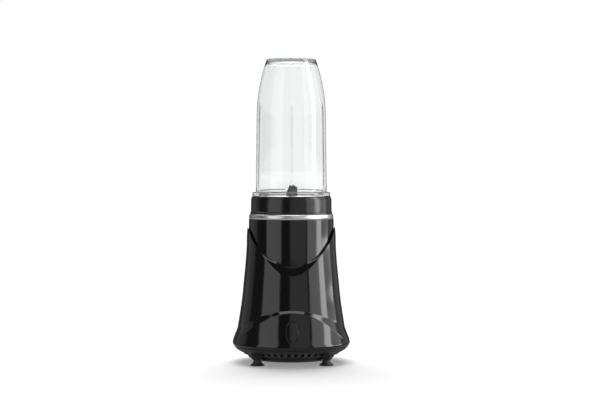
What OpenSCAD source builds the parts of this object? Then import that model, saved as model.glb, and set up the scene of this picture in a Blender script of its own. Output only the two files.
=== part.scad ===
// Countertop cup blender: a motor base, a twist-in blade holder and a tall clear cup,
// which stands mouth down on the blades. Millimetres, +Z up, the front faces -Y.
// The origin is on the spin axis, on the surface that the feet stand on.

/* [Cup] */
// Height of the closed end of the cup above the table
total_h = 347; // [343:1:352]
// Outer radius of the cup just above its flange
cup_r = 40.8; // [40.5:0.1:41.2]
// Outer radius of the cup where its shoulder starts to draw in
shoulder_r = 39.7; // [39:0.1:40.2]
// Height of the start of the shoulder
shoulder_z = 280; // [272:1:284]
// Radius of the curve that draws the cup in to its closed end
shoulder_curve = 200; // [190:1:240]
// Wall of the cup
cup_wall = 2.4; // [2:0.1:3]
// Radius of the flange that rests on the blade holder
flange_r = 44.7; // [44:0.1:45]

/* [Blade holder] */
// Radius of the foot ring of the blade holder
holder_r = 47.2; // [46.8:0.1:47.6]
// Height of the top edge of the blade holder
holder_top = 190.3; // [189.5:0.1:190.4]
// Radius of the skirt that drops into the seat of the base
skirt_r = 41.9; // [41.5:0.1:42]
// Turn between the locked place and the place where the holder lifts out
lock_turn = 28; // [20:1:32]

/* [Blades] */
// Tip radius of the blades
blade_r = 27; // [24:0.5:30]
// Width of a blade at its root
blade_w = 13; // [11:0.5:15]
// Sheet that the blades are cut from
blade_t = 1.5; // [1:0.1:1.6]
// Rise of the upper blade's wings
upper_rise = 38; // [20:1:45]
// Fall of the lower blade's wings
lower_fall = 12; // [5:1:14]

/* [Base] */
// Widest radius of the base
base_r = 67.4; // [67.2:0.1:68]
// Height of the line where the housing meets the bottom cover
parting_z = 20.2; // [20:0.1:20.6]
// Radius of the sleeve that shows above the neckline
sleeve_r = 48.8; // [48.4:0.1:48.9]
// Height of the top of the sleeve
sleeve_top = 164; // [163.6:0.1:164]
// Height of the lowest point of the neckline
neck_z = 105.5; // [103:0.5:108]
// Height of the crown of the arch over the button
arch_z = 62.1; // [60:0.1:64]
// Radius of the bright ring
ring_r = 48.8; // [48.4:0.1:48.9]
// Height of the top of the bright ring
ring_top = 170; // [169.8:0.1:170]
// Number of places in the ring of vent slots
vent_count = 48; // [32:4:56]
// Width of a vent slot
vent_w = 3.4; // [2.4:0.1:3.8]

/* [Feet] */
// Distance of each foot from the middle, along X and along Y
foot_spread = 38.9; // [38:0.1:39.5]
// Radius of the lip of a foot
foot_lip_r = 8.2; // [7:0.1:9]
// Radius of the stem of a foot
foot_stem_r = 4.2; // [3.8:0.1:4.6]

/* [Button] */
// Width of the opening for the button
button_w = 14.4; // [12:0.1:15]
// Height of the opening for the button
button_h = 23.6; // [20:0.1:24]
// Height of the middle of the button
button_z = 39.9; // [39:0.1:41]
// Gap around the button
button_gap = 0.35; // [0.3:0.05:0.5]

/* [Motor] */
// Radius of the shafts
shaft_r = 4; // [3.5:0.5:4]
// Radius of the stator
stator_r = 36; // [34:0.5:36]
// Radius of the armature
armature_r = 18.6; // [18:0.1:19]
// Radius of the fan
fan_r = 33; // [28:0.5:34]
// Number of fan blades
fan_blades = 11; // [7:1:13]
// Number of splines in the drive coupling
spline_count = 12; // [6:1:14]
// Radius of the cord that the grommet takes
cord_r = 3.6; // [3:0.1:4]

/* [Hidden] */
$fn = 96;

black = [0.05, 0.05, 0.055];
dark_grey = [0.16, 0.16, 0.17];
bright = [0.82, 0.83, 0.85];
steel = [0.62, 0.63, 0.65];
copper = [0.72, 0.4, 0.2];
laminate = [0.35, 0.36, 0.38];
clear = [0.85, 0.93, 0.97, 0.35];
rubber = [0.09, 0.09, 0.09];

wide = 200;             // longer than any cut has to be
gap = 0.3;              // air between pieces that move apart
run_fit = 0.03;         // radial play of a shaft in its bearing

// Base shell
sleeve_t = 2.3;
sleeve_low = 97;
sleeve_bore = sleeve_r + 0.1;
parting_r = 66.5;
cover_low = 4;
foot_top = 17;
arch_drop = 0.0077;     // fall of the arch per mm squared from the middle
neck_slope = 0.142;
neck_curve = 0.01517;
neck_round = 8;
side_from = 42;         // the neckline rises faster beyond this distance from the middle
side_rise = 0.094;
side_x = 70;

post_r = 4.5;           // posts that the cover screws bite into
post_top = 34;
boss_wall = 1.6;        // wall round the button opening
shelf_t = 3;
shelf_low = 90;

// Cord
grommet_z = 34;
grommet_r = 6;
collar_r = 8.1;
collar_in = 62.5;
collar_out = 65;

// Seat
deck_low = 150;
deck_floor = 152.5;
deck_top = 169.6;
seat_r = skirt_r + 0.6;
deck_r = 45.6;
notch_r = 44.2;
notch_floor = 154;
tab_r = 43.8;
tab_low = 157.4;
tab_high = 160.6;
tab_half = 9;           // degrees each side of a tab's middle
tab_at = 90;            // degrees to the first tab
tab_count = 3;
notch_play = 1.5;       // degrees

// Interlock
plunger_at = tab_at + 7;
plunger_off = 43.1;
plunger_r = 1.2;
plunger_bore = 1.3;
plunger_top = 157;

// Screw places
cover_screw_x = 38;
cover_screw_y = 13;
post_low = 9;
head_seat = 6.8;
mount_x = 22;
bolt_y = 31.5;
sleeve_screw_r = 42;
screw_r = 1.75;
head_r = 3.4;

// Motor stack
stack_low = 80;
stack_high = 108;
bore_r = 19.4;
bearing_r = 11;
bearing_h = 7;
low_bearing = 46;
high_bearing = 119;
bolt_r = 2;
coil_off = 23.7;        // middle of each field coil from the spin axis
brush_z = 65.7;
brush_w = 7.9;
brush_h = 6.9;
switch_low = 34.4;
bracket_r = stator_r;

// Blade spindle
web_low = 168.5;
web_top = 172;
pocket_r = 42.4;
boss_r = 13;
boss_top = 178;
cartridge_r = 8;
shaft_low = 157.6;      // foot of the blade shaft and of its gear
gear_root = 7.6;
gear_tip = 9.8;
gear_w = 1.8;
blade_low = 187.5;      // underside of the lower blade
cartridge_low = 165;
cartridge_top = 184;
bush_r = 5.6;
neck_r = 41.6;
rim_z = 174;
flange_low = 190.6;
flange_top = 194.9;
rib_off = 37.2;         // the four ribs inside the cup
rib_r = 1.4;
rib_high = 298;

// Outline of the housing above the arch, radius and height
body_line = [[63.4, 30], [61.5, 40.9], [60.4, 47.8], [58.6, 59.3], [56.9, 70.8], [54.6, 93.8],
    [52.4, 116.8], [51.3, 134], [51.1, 146], [50.4, 153.6], [49.6, 157.4]];
// Outline of the proud skirt below the arch
skirt_line = [[parting_r, parting_z], [base_r - 0.3, 21.2], [base_r, 22.8], [base_r - 0.4, 25],
    [66.2, 27.3], [64.9, 31.7], [63.8, 36.8], [62.8, 43], [61.4, 52], [60, 61], [59.6, 64]];
// Inner wall of the housing
cavity_line = [[63.4, 10], [63.4, 24.5], [59.6, 36], [58.2, 47.8], [56, 59.3], [52, 93.8],
    [sleeve_bore, 104], [sleeve_bore, wide]];
// Outline of the bottom cover, from the middle of its underside up to the parting line
cover_line = [[0, cover_low], [46, cover_low], [49.6, 6.2], [49.6, 9], [52, 9.5], [56.2, 10.9],
    [60.2, 13], [63, 15.6], [65.1, 17.9], [parting_r, parting_z]];
cover_inside = [[63.3, parting_z], [63.3, 24.2], [61.3, 24.2], [61.3, 18.6], [59.6, 17],
    [55.4, 14.5], [50.8, 12.8], [47, 11.8], [47, 8], [45.4, 6.6], [0, 6.6]];

function moved(line, by) = [for (p = line) [p[0] + by, p[1]]];
function arc(cx, cy, r, from, to, steps) =
    [for (i = [0:steps]) let (a = from + (to - from) * i / steps) [cx + r * cos(a), cy + r * sin(a)]];
function neckline(x) = neck_z + neck_slope * (sqrt(x * x + neck_round * neck_round) - neck_round)
    + neck_curve * x * x + side_rise * pow(max(abs(x) - side_from, 0), 2);
function arch(x) = arch_z - arch_drop * x * x;

module turned(points) {
    rotate_extrude() polygon(points);
}

// A solid of revolution from the axis out to a line of radius and height points
module filled(line) {
    turned(concat([[0, line[0][1]]], line, [[0, line[len(line) - 1][1]]]));
}

module tube(outer, inner, low, high) {
    translate([0, 0, low]) rotate_extrude() translate([inner, 0]) square([outer - inner, high - low]);
}

module rod(r, low, high) {
    translate([0, 0, low]) cylinder(r = r, h = high - low);
}

// A prism that runs along Y, from an outline drawn in X and Z
module along_y(low, high) {
    translate([0, high, 0]) rotate([90, 0, 0]) linear_extrude(high - low) children();
}

// A ring sector centred on the X axis
module sector(inner, outer, low, high, half) {
    rotate([0, 0, -half]) rotate_extrude(angle = 2 * half)
        translate([inner, low]) square([outer - inner, high - low]);
}

module oval(w, h) {
    union() {
        translate([0, h / 2 - w / 2]) circle(r = w / 2);
        translate([0, w / 2 - h / 2]) circle(r = w / 2);
        square([w, h - w], center = true);
    }
}

module at_mirrors(x, y) {
    for (sx = [-1, 1]) for (sy = [-1, 1]) translate([sx * x, sy * y, 0]) children();
}

// ---- Base shells ----

module under_arch() {
    step = 5;
    along_y(-wide, wide)
        polygon(concat([[-side_x, 0]], [for (x = [-side_x:step:side_x]) [x, arch(x)]], [[side_x, 0]]));
}

module over_neckline() {
    step = 4;
    reach = 60;
    along_y(-wide, wide)
        polygon(concat([[-reach, wide]], [for (x = [-reach:step:reach]) [x, neckline(x)]], [[reach, wide]]));
}

module housing_posts() {
    rib_reach = 61;
    rib_t = 2.4;
    rib_low = 25;
    shelf_w = 10;
    shelf_reach = 12;
    for (sx = [-1, 1]) for (sy = [-1, 1]) {
        translate([sx * cover_screw_x, sy * cover_screw_y, 0]) rod(post_r, post_low, post_top);
        translate([sx > 0 ? cover_screw_x : -rib_reach, sy * cover_screw_y - rib_t / 2, rib_low])
            cube([rib_reach - cover_screw_x, rib_t, post_top - rib_low]);
    }
    for (a = [45:90:315]) rotate([0, 0, a]) difference() {
        translate([sleeve_screw_r, -shelf_w / 2, shelf_low]) cube([shelf_reach, shelf_w, shelf_t]);
        translate([sleeve_screw_r, 0, 0]) rod(screw_r, 80, 100);
    }
}

module main_housing() {
    tray_w = 22;
    color(black) difference() {
        union() {
            difference() {
                union() {
                    filled(body_line);
                    intersection() {
                        filled(skirt_line);
                        under_arch();
                    }
                }
                filled(cavity_line);
                over_neckline();
            }
            housing_posts();
            along_y(-61, -53) translate([0, button_z]) difference() {
                oval(button_w + 2 * boss_wall, button_h + 2 * boss_wall);
                oval(button_w, button_h);
            }
            translate([-tray_w / 2, -57, 32]) cube([tray_w, 19, switch_low - 32]);
        }
        along_y(-wide, -50) translate([0, button_z]) oval(button_w, button_h);
        at_mirrors(cover_screw_x, cover_screw_y) rod(screw_r, 0, 31);
        along_y(50, wide) translate([0, grommet_z]) circle(r = grommet_r);
        along_y(collar_in, wide) translate([0, grommet_z]) circle(r = collar_r + 0.1);
    }
}

module top_sleeve() {
    inner = sleeve_r - sleeve_t;
    ear_r = 4;
    ear_h = 13;
    ear_web = 3;
    color(black) difference() {
        union() {
            turned([[inner, sleeve_low], [sleeve_r, sleeve_low], [sleeve_r, sleeve_top],
                [deck_r, sleeve_top], [deck_r, sleeve_top - 2.5], [inner, sleeve_top - 2.5]]);
            for (a = [45:90:315]) rotate([0, 0, a]) {
                translate([sleeve_screw_r, 0, 0]) rod(ear_r, sleeve_low, sleeve_low + ear_h);
                translate([sleeve_screw_r, -ear_web / 2, sleeve_low])
                    cube([inner + 0.9 - sleeve_screw_r, ear_web, ear_h]);
            }
        }
        for (a = [45:90:315]) rotate([0, 0, a]) translate([sleeve_screw_r, 0, 0]) rod(screw_r, 90, 107);
    }
}

module chrome_ring() {
    low = sleeve_top;
    inner = deck_r + 0.1;
    color(bright) turned([[inner, low], [ring_r - 0.7, low], [ring_r - 0.1, low + 0.8], [ring_r, low + 2],
        [ring_r - 0.5, low + 3.6], [ring_r - 0.6, ring_top - 0.9], [ring_r - 1.3, ring_top], [inner, ring_top]]);
}

module seat_deck() {
    color(dark_grey) difference() {
        union() {
            turned([[10, deck_low], [deck_r, deck_low], [deck_r, deck_top - 0.6], [deck_r - 0.6, deck_top],
                [seat_r + 0.5, deck_top], [seat_r, deck_top - 0.5], [seat_r, deck_floor], [10, deck_floor]]);
            tube(12.5, 10, 146.5, deck_low + 1);
            at_mirrors(mount_x, mount_x) rod(4.5, 129, deck_low + 1);
        }
        for (i = [0:tab_count - 1]) rotate([0, 0, tab_at + i * 360 / tab_count - lock_turn / 2])
            sector(seat_r - 1, notch_r, notch_floor, wide, tab_half + notch_play + lock_turn / 2);
        rotate([0, 0, plunger_at]) translate([plunger_off, 0, 0]) rod(plunger_bore, 140, wide);
        at_mirrors(mount_x, mount_x) rod(screw_r, 120, 141);
    }
}

module bottom_cover() {
    vent_in = 55.8;
    vent_out = 63.6;
    vent_low = 9;
    foot_clear = 8;     // half angle at each foot that has no vent
    slot_in = 13;
    slot_l = 15;
    slot_w = 3;
    color(black) difference() {
        union() {
            turned(concat(cover_line, cover_inside));
            at_mirrors(foot_spread, foot_spread) rod(foot_stem_r + 2.4, 11, 19);
            at_mirrors(cover_screw_x, cover_screw_y) rod(head_r + 2, 5, post_low);
        }
        for (i = [0:vent_count - 1]) {
            a = (i + 0.5) * 360 / vent_count;
            if (abs((a % 90) - 45) > foot_clear) rotate([0, 0, a])
                translate([vent_in, -vent_w / 2, vent_low]) cube([vent_out - vent_in, vent_w, 10]);
        }
        for (a = [0:22.5:359]) rotate([0, 0, a])
            translate([slot_in, -slot_w / 2, 0]) cube([slot_l, slot_w, 10]);
        at_mirrors(cover_screw_x, cover_screw_y) {
            rod(screw_r, 0, 10);
            rod(head_r + gap, 0, head_seat);
        }
        at_mirrors(foot_spread, foot_spread) rod(foot_stem_r, 0, foot_top);
    }
}

module foot(sx, sy) {
    color(rubber) translate([sx * foot_spread, sy * foot_spread, 0])
        turned([[0, 1.6], [4.6, 1.3], [6.5, 0], [foot_lip_r, 0], [foot_lip_r, 0.7], [foot_stem_r + 0.6, 3.4],
            [foot_stem_r, 4.4], [foot_stem_r, foot_top], [0, foot_top]]);
}

module cord_grommet() {
    color(rubber) difference() {
        union() {
            along_y(57.5, 66) translate([0, grommet_z]) circle(r = grommet_r);
            along_y(collar_in, collar_out) translate([0, grommet_z]) circle(r = collar_r);
        }
        along_y(50, wide) translate([0, grommet_z]) circle(r = cord_r);
    }
}

// ---- Motor, fixed parts ----

module upper_bracket() {
    color(steel) difference() {
        union() {
            rod(bracket_r, 118, 121);
            rod(13.5, 115.5, 127);
            for (s = [-1, 1]) translate([0, s * bolt_y, 0]) rod(4.2, stack_high, 119);
        }
        rod(bearing_r, high_bearing, high_bearing + bearing_h);
        rod(6, 110, 130);
        at_mirrors(mount_x, mount_x) rod(screw_r, 110, 130);
        for (s = [-1, 1]) translate([0, s * bolt_y, 0]) rod(bolt_r, 100, 130);
        for (s = [-1, 1]) rotate([0, 0, 90 - s * 90]) sector(17, 30, 110, 130, 22);
    }
}

module lower_bracket() {
    color(steel) difference() {
        union() {
            rod(14, 44, 55);
            translate([-9, -bolt_y, 52]) cube([18, 2 * bolt_y, 3]);
            translate([-34, -8, 52]) cube([68, 16, 3]);
            for (s = [-1, 1]) translate([0, s * bolt_y, 0]) rod(4.5, 52, stack_low);
        }
        rod(bearing_r, low_bearing, low_bearing + bearing_h);
        rod(6, 40, 60);
        for (s = [-1, 1]) translate([0, s * bolt_y, 0]) rod(bolt_r, 40, 90);
    }
}

module bearing(low) {
    color(bright) tube(bearing_r, shaft_r + run_fit, low, low + bearing_h);
}

module stator_core() {
    color(laminate) translate([0, 0, stack_low]) linear_extrude(stack_high - stack_low) difference() {
        intersection() {
            circle(r = stator_r);
            square([64, 2 * stator_r], center = true);
        }
        circle(r = bore_r);
        for (sx = [-1, 1]) for (sy = [-1, 1]) translate([sx * 14, sy * coil_off])
            square([8.2, 5.6], center = true);
        for (s = [-1, 1]) translate([0, s * bolt_y]) circle(r = bolt_r);
    }
}

module field_coil(side) {
    color(copper) translate([0, side * coil_off, (stack_low + stack_high) / 2]) difference() {
        cube([36, 5.4, 40], center = true);
        cube([20, 6, 29], center = true);
    }
}

module brush_holder(side) {
    color([0.75, 0.6, 0.3]) difference() {
        union() {
            translate([side > 0 ? 12.5 : -33, -5.5, 61]) cube([20.5, 11, 9.5]);
            translate([side > 0 ? 24 : -33, -6, 55]) cube([9, 12, 7]);
        }
        translate([side > 0 ? 10 : -40, -brush_w / 2 - 0.05, brush_z - brush_h / 2 - 0.05])
            cube([30, brush_w + 0.1, brush_h + 0.1]);
    }
}

module carbon_brush(side) {
    near = 10.6;
    length = 15;
    color(dark_grey) translate([side > 0 ? near : -near - length, -brush_w / 2, brush_z - brush_h / 2])
        cube([length, brush_w, brush_h]);
}

module motor_mount(sx, sy) {
    color(rubber) translate([sx * mount_x, sy * mount_x, 0]) tube(5.5, screw_r, 121, 129);
}

module shaft_seal() {
    color(rubber) tube(10, shaft_r + 0.4, 146.5, 152);
}

module power_switch() {
    color(dark_grey) union() {
        translate([-9, -50, switch_low]) cube([18, 12, 11.1]);
        along_y(-50.7, -49) translate([0, button_z]) circle(r = 2.6);
    }
}

module switch_bracket() {
    color(steel) rotate([0, 0, plunger_at]) difference() {
        union() {
            translate([36.6, -11, 119]) cube([1.6, 22, deck_low - 119]);
            translate([38, -9, 133.5]) cube([7.3, 18, 1.5]);
        }
        translate([plunger_off, 0, 0]) rod(plunger_bore, 130, 140);
    }
}

module interlock_switch() {
    color(dark_grey) rotate([0, 0, plunger_at]) union() {
        translate([38.2, -10, 120]) cube([6.4, 20, 10.2]);
        translate([plunger_off, 0, 0]) rod(1.2, 130, 131.6);
    }
}

module screw(low, high, head_h) {
    union() {
        rod(head_r, low, low + head_h);
        rod(screw_r, low, high);
    }
}

module cover_screws() {
    head_h = 2.2;
    color(steel) at_mirrors(cover_screw_x, cover_screw_y) screw(head_seat - head_h, 31, head_h);
}

module sleeve_screws() {
    color(steel) for (a = [45:90:315]) rotate([0, 0, a])
        translate([sleeve_screw_r, 0, 0]) screw(shelf_low - 2.4, 107, 2.4);
}

module mount_screws() {
    color(steel) at_mirrors(mount_x, mount_x) screw(115.6, 141, 2.4);
}

module stator_bolts() {
    color(steel) for (s = [-1, 1]) translate([0, s * bolt_y, 0]) union() {
        rod(2 * bolt_r, 49, 52);
        rod(bolt_r, 49, 124);
        rod(2 * bolt_r, 121, 124);
    }
}

module button_spring() {
    color(steel) along_y(-59.5, -50.1) translate([0, button_z]) difference() {
        circle(r = 4.4);
        circle(r = 3.5);
    }
}

module interlock_spring() {
    color(steel) rotate([0, 0, plunger_at]) translate([plunger_off, 0, 0]) tube(2.1, 1.5, 135.1, 143.9);
}

// ---- Motor, turning parts ----

module rotor_shaft() {
    color(steel) rod(shaft_r, 25, 157);
}

module armature_slots(w, inner, outer) {
    for (i = [0:11]) rotate([0, 0, i * 30]) translate([inner, -w / 2]) square([outer - inner, w]);
}

module armature_core() {
    color(laminate) translate([0, 0, stack_low]) linear_extrude(stack_high - stack_low) difference() {
        circle(r = armature_r);
        circle(r = shaft_r);
        armature_slots(3.2, 10.5, 17.6);
    }
}

module armature_winding() {
    color(copper) union() {
        translate([0, 0, 75]) linear_extrude(38) armature_slots(3.1, 10.6, 17.5);
        tube(17.4, shaft_r, 73, stack_low);
        tube(17.4, shaft_r, stack_high, 113.8);
    }
}

module commutator() {
    color(copper) tube(10.5, shaft_r, 57, 73);
}

module cooling_fan() {
    color(dark_grey) difference() {
        union() {
            rod(8, 28, 42);
            rod(fan_r, 40, 42);
            for (i = [0:fan_blades - 1]) rotate([0, 0, i * 360 / fan_blades])
                translate([7, -0.9, 28]) cube([fan_r - 8, 1.8, 13]);
        }
        rod(shaft_r, 20, 50);
    }
}

// Splines of a given root and tip radius
module splines(root, tip, w) {
    union() {
        circle(r = root);
        for (i = [0:spline_count - 1]) rotate([0, 0, i * 360 / spline_count])
            translate([0, -w / 2]) square([tip, w]);
    }
}

module drive_coupling() {
    color(dark_grey) difference() {
        rod(13, 153.3, 164.5);
        translate([0, 0, 157]) linear_extrude(10) splines(gear_root + 0.4, gear_tip + 0.4, gear_w + 0.8);
        rod(shaft_r, 150, 160);
    }
}

// ---- Blade holder ----

module bearing_cartridge() {
    color(steel) turned([[bush_r, cartridge_low], [cartridge_r, cartridge_low], [cartridge_r, boss_top + gap],
        [12.5, boss_top + gap], [12.5, 180.4], [11.9, 181], [cartridge_r, 181], [cartridge_r, cartridge_top],
        [7, cartridge_top], [7, 181.2], [bush_r, 181.2]]);
}

module cartridge_nut() {
    color(bright) difference() {
        translate([0, 0, cartridge_low]) cylinder(r = 12, h = web_low - gap - cartridge_low, $fn = 6);
        rod(cartridge_r, 160, 170);
    }
}

module bush(low, high) {
    color(copper) tube(bush_r, shaft_r + run_fit, low, high);
}

module spindle_seal() {
    color(rubber) tube(7, shaft_r + 0.25, 181.2, cartridge_top);
}

module blade_holder() {
    bore = cartridge_r + 0.05;
    color(black) union() {
        turned([[bore, web_low], [39.5, web_low], [39.5, 153], [skirt_r, 153], [skirt_r, ring_top + gap],
            [holder_r - 0.5, ring_top + gap], [holder_r, ring_top + 0.8], [holder_r, 172.1],
            [holder_r - 0.4, 172.8], [holder_r - 1.1, 187], [holder_r - 1.9, holder_top - 0.4],
            [holder_r - 2.7, holder_top], [pocket_r, holder_top], [pocket_r, web_top], [boss_r, web_top],
            [boss_r, boss_top], [bore, boss_top]]);
        for (i = [0:tab_count - 1]) rotate([0, 0, tab_at + i * 360 / tab_count])
            sector(skirt_r - 1, tab_r, tab_low, tab_high, tab_half);
    }
}

module cup_gasket() {
    color([0.75, 0.75, 0.76]) turned([[36.8, 172.1], [42, 172.1], [42, 173.3], [41.5, 173.8],
        [37.4, 173.8], [36.8, 173.3]]);
}

module tall_cup() {
    centre_r = shoulder_r - shoulder_curve;
    turn_in = asin((total_h - 2.7 - shoulder_z) / shoulder_curve);
    top_r = centre_r + shoulder_curve * cos(turn_in);
    inner_curve = shoulder_curve - cup_wall;
    inner_turn = asin((total_h - 5.8 - shoulder_z) / inner_curve);
    inner_top_r = centre_r + inner_curve * cos(inner_turn);
    outer = concat([[neck_r, rim_z], [neck_r, flange_low], [flange_r, flange_low], [flange_r, flange_top - 0.4],
        [flange_r - 0.4, flange_top], [cup_r, flange_top]],
        arc(centre_r, shoulder_z, shoulder_curve, 0, turn_in, 7),
        [[top_r - 0.5, total_h - 0.4], [top_r - 1.6, total_h], [top_r - 3.2, total_h], [top_r - 4, total_h - 1.4],
            [0, total_h - 1.4]]);
    inner = concat([[0, total_h - 4.6], [inner_top_r - 0.4, total_h - 4.6]],
        arc(centre_r, shoulder_z, inner_curve, inner_turn, 0, 7),
        [[cup_r - cup_wall, flange_top], [neck_r - 2.8, flange_low], [neck_r - 2.8, rim_z]]);
    color(clear) union() {
        turned(concat(outer, inner));
        for (a = [0:90:270]) rotate([0, 0, a]) translate([rib_off, 0, 0]) rod(rib_r, 199, rib_high);
    }
}

// ---- Blades ----

module blade_shaft() {
    color(steel) rod(shaft_r, shaft_low, 193);
}

module driven_gear() {
    color(dark_grey) difference() {
        translate([0, 0, shaft_low]) linear_extrude(6.7) splines(gear_root, gear_tip, gear_w);
        rod(shaft_r, 150, 170);
    }
}

module blade_spacer() {
    color(steel) tube(6.5, shaft_r, 185, blade_low);
}

// One sheet blade: a flat middle and two tapered wings that rise by an angle
module blade(low, rise) {
    flat_half = 9;
    wing = (blade_r - flat_half) / cos(rise);
    difference() {
        union() {
            translate([-flat_half, -blade_w / 2, low]) cube([2 * flat_half, blade_w, blade_t]);
            for (s = [0, 180]) rotate([0, 0, s]) translate([flat_half, 0, low]) rotate([0, -rise, 0])
                translate([-0.2, 0, 0]) linear_extrude(blade_t) polygon([[0, -blade_w / 2],
                    [wing, -blade_w / 5], [wing - 4, blade_w / 2], [0, blade_w / 2]]);
        }
        rod(shaft_r, low - 5, low + 5);
    }
}

module lower_blade() {
    color(bright) blade(blade_low, -lower_fall);
}

module upper_blade() {
    color(bright) rotate([0, 0, 90]) blade(blade_low + blade_t, upper_rise);
}

module blade_nut() {
    base = blade_low + 2 * blade_t;
    color(bright) difference() {
        union() {
            rod(7, base, base + 1.2);
            translate([0, 0, base + 1]) cylinder(r = 6.2, h = 4, $fn = 6);
            translate([0, 0, base + 5]) sphere(r = 4.6);
        }
        rod(shaft_r, base - 5, 193);
    }
}

// ---- Controls ----

module power_button() {
    cap_w = button_w - 2 * button_gap;
    cap_h = button_h - 2 * button_gap;
    color(black) union() {
        intersection() {
            along_y(-wide, 0) translate([0, button_z]) oval(cap_w, cap_h);
            difference() {
                filled(moved(skirt_line, 0.5));
                filled(moved(skirt_line, -2.8));
            }
        }
        along_y(-62, -53.2) translate([0, button_z]) circle(r = 3);
    }
}

module interlock_plunger() {
    color([0.9, 0.9, 0.88]) rotate([0, 0, plunger_at]) translate([plunger_off, 0, 0]) union() {
        rod(plunger_r, 132, plunger_top);
        rod(2.3, 144, 147);
    }
}

main_housing();
top_sleeve();
chrome_ring();
seat_deck();
bottom_cover();
foot(-1, -1);  // foot_front_left
foot(1, -1);  // foot_front_right
foot(-1, 1);  // foot_back_left
foot(1, 1);  // foot_back_right
cord_grommet();
upper_bracket();
lower_bracket();
bearing(high_bearing);  // upper_bearing
bearing(low_bearing);  // lower_bearing
stator_core();
field_coil(-1);  // field_coil_front
field_coil(1);  // field_coil_back
brush_holder(-1);  // brush_holder_left
brush_holder(1);  // brush_holder_right
carbon_brush(-1);  // carbon_brush_left
carbon_brush(1);  // carbon_brush_right
motor_mount(-1, -1);  // motor_mount_front_left
motor_mount(1, -1);  // motor_mount_front_right
motor_mount(-1, 1);  // motor_mount_back_left
motor_mount(1, 1);  // motor_mount_back_right
shaft_seal();
power_switch();
interlock_switch();
switch_bracket();
cover_screws();
sleeve_screws();
mount_screws();
stator_bolts();
button_spring();
interlock_spring();
rotor_shaft();
armature_core();
armature_winding();
commutator();
cooling_fan();
drive_coupling();
bearing_cartridge();
cartridge_nut();
bush(174.5, 181.2);  // upper_bush
bush(cartridge_low, 171.5);  // lower_bush
spindle_seal();
blade_holder();
cup_gasket();
tall_cup();
blade_shaft();
driven_gear();
blade_spacer();
lower_blade();
upper_blade();
blade_nut();
power_button();
interlock_plunger();
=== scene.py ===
"""Looks of a countertop cup blender: gloss black motor base, twist-in blade holder and tall clear cup.

Shapes are worked out in millimetres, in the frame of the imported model, and become metres as each mesh is made.
The front faces -Y and +Z is up.
"""

import math

import bpy
import numpy as np
from mathutils import Matrix, Vector


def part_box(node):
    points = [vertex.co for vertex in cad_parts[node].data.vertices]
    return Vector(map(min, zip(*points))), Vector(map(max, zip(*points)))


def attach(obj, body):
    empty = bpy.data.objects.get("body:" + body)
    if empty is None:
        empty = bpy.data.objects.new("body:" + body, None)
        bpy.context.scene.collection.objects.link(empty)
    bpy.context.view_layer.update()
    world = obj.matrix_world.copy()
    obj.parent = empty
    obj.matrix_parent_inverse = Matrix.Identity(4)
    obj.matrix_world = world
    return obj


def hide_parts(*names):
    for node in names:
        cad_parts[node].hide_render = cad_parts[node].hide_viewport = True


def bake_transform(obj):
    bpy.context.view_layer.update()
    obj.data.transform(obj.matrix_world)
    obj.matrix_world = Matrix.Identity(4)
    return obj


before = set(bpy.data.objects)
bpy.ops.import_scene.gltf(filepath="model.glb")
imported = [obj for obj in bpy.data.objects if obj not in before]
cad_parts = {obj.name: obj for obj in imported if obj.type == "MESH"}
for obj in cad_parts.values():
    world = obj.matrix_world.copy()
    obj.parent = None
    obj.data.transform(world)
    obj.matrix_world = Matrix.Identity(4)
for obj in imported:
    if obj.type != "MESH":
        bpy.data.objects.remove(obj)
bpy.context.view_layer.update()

MM = 0.001


def box_mm(node):
    """Lowest and highest corner of a CAD node, in millimetres."""
    low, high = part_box(node)
    return np.array(low) / MM, np.array(high) / MM


# ---- Sizes, in millimetres -----------------------------------------------------------------------

HOUSING_LOW = 20.2
SLEEVE_R = box_mm("top_sleeve")[1][0]
SLEEVE_LOW, SLEEVE_TOP = box_mm("top_sleeve")[0][2], box_mm("top_sleeve")[1][2]
RING_R = box_mm("chrome_ring")[1][0]
RING_TOP = box_mm("chrome_ring")[1][2]
HOLDER_R = box_mm("blade_holder")[1][0]
HOLDER_LOW, HOLDER_TOP = box_mm("blade_holder")[0][2], box_mm("blade_holder")[1][2]
CUP_LOW, CUP_TOP = box_mm("tall_cup")[0][2], box_mm("tall_cup")[1][2]
FLANGE_R = box_mm("tall_cup")[1][0]

# Radius and height of points on the skirt, on the body above it, and on the wall inside.
SKIRT_LINE = [(66.5, 20.2), (67.1, 21.2), (67.4, 22.8), (67, 25), (66.2, 27.3), (64.9, 31.7), (63.8, 36.8), (62.8, 43),
              (61.4, 52), (60, 61), (59.6, 64)]
BODY_LINE = [(63.4, 30), (61.5, 40.9), (60.4, 47.8), (58.6, 59.3), (56.9, 70.8), (54.6, 93.8), (52.4, 116.8),
             (51.3, 134), (51.1, 146), (50.4, 153.6), (49.6, 157.4)]
CAVITY_LINE = [(63.4, 24.5), (59.6, 36), (58.2, 47.8), (56, 59.3), (52, 93.8), (48.95, 104), (48.95, 160)]
BUTTON_W, BUTTON_H, BUTTON_Z = 14.4, 23.5, 39.9
BUTTON_GAP = 0.35
VENTS, VENT_W = 48, 3.4
SPLINES = 12
SCREW_X, SCREW_Y = 38, 13
FOOT_AWAY = 38.9
BLADE_LOW = box_mm("lower_blade")[1][2] - 1.5
BLADE_R = box_mm("lower_blade")[1][0]
BLADE_T = 1.5


# ---- Outlines ------------------------------------------------------------------------------------

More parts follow.
